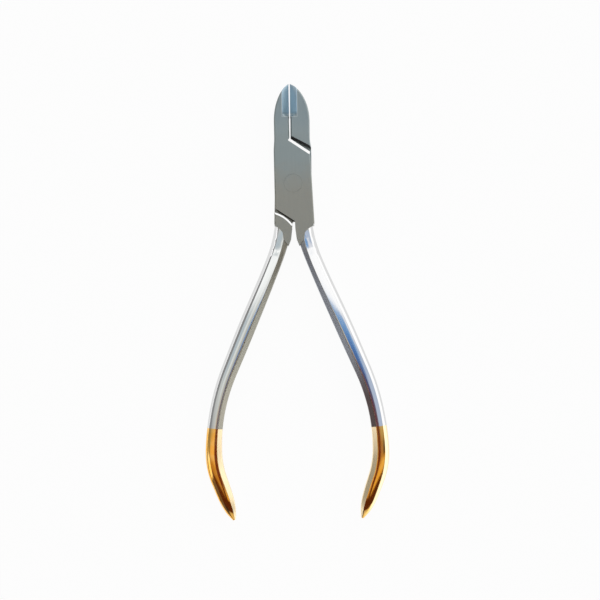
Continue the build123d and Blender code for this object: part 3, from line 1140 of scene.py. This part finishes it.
class DomePart(Enum):
    """Panels of the dome in the order in which they are laid."""

    FAR_SKY = Panel((0.36, 0.48, 0.66), (-0.6, 0.6), (0.20, 0.75), (0.2, 0.2))
    LEFT_SHADE = Panel((0.32, 0.32, 0.32), (-18.0, -0.72), (-0.4, 9.0), (0.2, 0.3))
    LEFT_LOW_SHADE = Panel((0.45, 0.45, 0.45), (-18.0, -4.1), (-6.0, -0.4), (0.2, 0.3))
    RIGHT_SHADE = Panel((0.05, 0.04, 0.03), (0.5, 1.9), (-1.5, -0.12), (0.3, 0.06))
    LEFT_GLOW = Panel((0.72, 0.74, 0.71), (-0.75, 0.12), (-0.22, 0.30), (0.12, 0.16), -HANDLE.splay)
    LEFT_COOL = Panel((0.58, 0.66, 0.70), (-0.85, -0.30), (-0.12, -0.02), (0.08, 0.06), -HANDLE.splay)
    LEFT_WARM = Panel((0.62, 0.60, 0.51), (-0.10, 0.25), (-0.26, -0.045), (0.10, 0.04), -HANDLE.splay)
    LEFT_STREAK = Panel((0.92, 0.95, 0.92), (-0.26, -0.16), (-0.14, 0.05), (0.06, 0.06), -HANDLE.splay)
    LEFT_LIGHT = Panel((1.30, 1.32, 1.30), (-0.75, -0.05), (-0.016, 0.20), (0.10, 0.04), -HANDLE.splay)
    RIGHT_LIGHT = Panel((1.35, 1.35, 1.35), (-0.02, 0.75), (-0.029, 0.18), (0.06, 0.012), HANDLE.splay)
    RIM_LIGHT = Panel((0.55, 0.64, 0.80), (0.0, 0.62), (-0.25, -0.029), (0.06, 0.012), HANDLE.splay)
    ROOT_LIGHT = Panel((0.90, 0.93, 1.00), (0.34, 0.62), (-0.075, -0.029), (0.05, 0.012), HANDLE.splay)
    COOL = Panel((0.22, 0.43, 0.76), (-0.06, 0.32), (-0.09, -0.029), (0.06, 0.012), HANDLE.splay)
    DEEP_COOL = Panel((0.09, 0.22, 0.53), (-0.06, 0.21), (-0.11, -0.062), (0.06, 0.03), HANDLE.splay)
    DUSK = Panel((0.08, 0.09, 0.18), (-0.06, 0.10), (-0.14, -0.093), (0.06, 0.03), HANDLE.splay)
    LOW_DUSK = Panel((0.14, 0.08, 0.11), (-0.04, 0.10), (-0.25, -0.125), (0.06, 0.03), HANDLE.splay)
    WARM_LIGHT = Panel((0.95, 0.74, 0.46), (-0.45, -0.08), (-0.20, -0.11), (0.08, 0.03))
    TOP_EMBER = Panel((0.38, 0.25, 0.18), (0.04, 0.36), (-0.18, -0.113), (0.06, 0.02))
    RIDGE_SHADE = Panel((0.05, 0.04, 0.02), (0.34, 1.6), (-0.19, -0.119), (0.06, 0.02))
    MIDDLE_FLAG = Panel((0.145, 0.02, 0.02), (-0.10, 0.12), (-0.65, -0.117), (0.06, 0.02))
    LOW_FLAG = Panel((0.10, 0.03, 0.015), (-0.60, 0.60), (-0.65, -0.20), (0.1, 0.08))
    LEFT_EMBER = Panel((0.52, 0.33, 0.12), (-0.55, -0.06), (-0.26, -0.18), (0.06, 0.04))
    RIGHT_EMBER = Panel((0.85, 0.66, 0.28), (0.05, 0.80), (-0.27, -0.175), (0.05, 0.03))
    NOSE_FLAG = Panel((0.18, 0.14, 0.14), (-9.0, -0.8), (-6.0, 0.10), (0.3, 0.15), 26.6)
    NOTCH_FLAG = Panel((0.03, 0.03, 0.03), (-1.25, -0.20), (-1.9, -0.55), (0.2, 0.2))


@dataclass
class Studio:
    """White floor, soft dome with panels and flags, and the camera over the tool.

    overhead is the span of heights over the horizon, as sines, over which the dome changes to its zenith.
    lowest_sine is the height under which the slopes of the panels stop growing.
    """

    floor_radius: float = 1.6
    floor_sides: int = 96
    floor_colour: Colour = (0.90, 0.90, 0.90)
    floor_glow: float = 0.95
    horizon: Colour = (1.4, 1.4, 1.4)
    zenith: Colour = (0.42, 0.43, 0.42)
    overhead: Span = (0.55, 0.92)
    lowest_sine: float = 0.05
    distance: float = 0.42
    clip_start: float = 0.0042
    roll: float = 0.93
    frame_pixels: float = 600.0
    pivot_pixel: tuple[float, float] = (293.0, 183.0)
    pixel_size: float = 0.2975 * MM
    sensor: float = 36.0

    def floor(self) -> None:
        """Lay a round floor under the tool that shows white and keeps the tool's shadow."""
        turn = np.linspace(0.0, 2 * np.pi, self.floor_sides, endpoint=False)
        rim = np.stack([np.cos(turn), np.sin(turn), np.zeros_like(turn)], axis=1) * self.floor_radius
        mesh = bpy.data.meshes.new("floor")
        mesh.from_pydata(rim.tolist(), [], [list(range(self.floor_sides))])
        floor = bpy.data.objects.new("floor", mesh)
        bpy.context.scene.collection.objects.link(floor)
        material, graph = new_material("white_floor")
        ray = graph.node("ShaderNodeLightPath", {}, {}).outputs
        seen = Value(graph, ray["Is Camera Ray"]) | Value(graph, ray["Is Glossy Ray"])
        seen = seen | Value(graph, ray["Is Transmission Ray"])
        paint = graph.node("ShaderNodeBsdfDiffuse", {}, {"Color": (*self.floor_colour, 1.0)})
        glow = graph.node("ShaderNodeEmission", {}, {"Color": (1.0, 1.0, 1.0, 1.0), "Strength": 1.0})
        inputs = {0: seen * self.floor_glow, 1: paint.outputs[0], 2: glow.outputs[0]}
        surface = graph.node("ShaderNodeMixShader", {}, inputs)
        graph.node("ShaderNodeOutputMaterial", {}, {"Surface": surface.outputs[0]})
        mesh.materials.append(material)

    def dome(self) -> None:
        """Light the tool from a dome, bright at the horizon and grey overhead, with panels laid on it."""
        world = bpy.data.worlds.new("studio")
        world.use_nodes = True
        bpy.context.scene.world = world
        graph = Graph(world.node_tree)
        x, y, z = graph.split(graph.node("ShaderNodeTexCoord", {}, {}).outputs["Generated"])
        height = z | self.lowest_sine
        place = (x / height, y / height)
        colour: Any = graph.mix(z.rise(*self.overhead), self.horizon, self.zenith)
        for part in DomePart:
            colour = part.value.lay(graph, place, colour)
        light = graph.node("ShaderNodeBackground", {}, {"Color": colour, "Strength": 1.0})
        graph.node("ShaderNodeOutputWorld", {}, {"Surface": light.outputs[0]})

    def camera(self) -> None:
        """Set the camera straight over the tool, turned and aimed for the photograph's frame."""
        roll = math.radians(self.roll)
        right = Vector((math.cos(roll), -math.sin(roll), 0.0))
        up = Vector((math.sin(roll), math.cos(roll), 0.0))
        back = Vector((0.0, 0.0, 1.0))
        centre = self.frame_pixels / 2
        step = (centre - self.pivot_pixel[0], self.pivot_pixel[1] - centre)
        aim = (right * step[0] + up * step[1]) * self.pixel_size
        aim.z = CAD_BOX[1][2]
        data = bpy.data.cameras.new("camera")
        data.sensor_width = self.sensor
        data.lens = self.sensor * self.distance / (self.frame_pixels * self.pixel_size)
        data.clip_start = self.clip_start
        camera = bpy.data.objects.new("camera", data)
        axes = Matrix((right, up, back)).transposed().to_4x4()
        camera.matrix_world = Matrix.Translation(aim + back * self.distance) @ axes
        bpy.context.scene.collection.objects.link(camera)
        bpy.context.scene.camera = camera

    def build(self) -> None:
        """Set up the floor, the light, the camera and the plain view."""
        self.floor()
        self.dome()
        self.camera()
        bpy.context.scene.view_settings.view_transform = "Standard"


def main() -> None:
    """Dress the tool and set its studio."""
    logging.basicConfig(level=logging.INFO, format="%(name)s: %(message)s")
    carbide = GroundCarbide().material()
    braze = SilverBraze().material()
    for side in Side:
        ToolHalf(side, carbide, braze).dress()
    finish_piece(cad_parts["pivot_rivet"], FlushSteel().material())
    Studio().build()


if __name__ == "__main__":
    main()
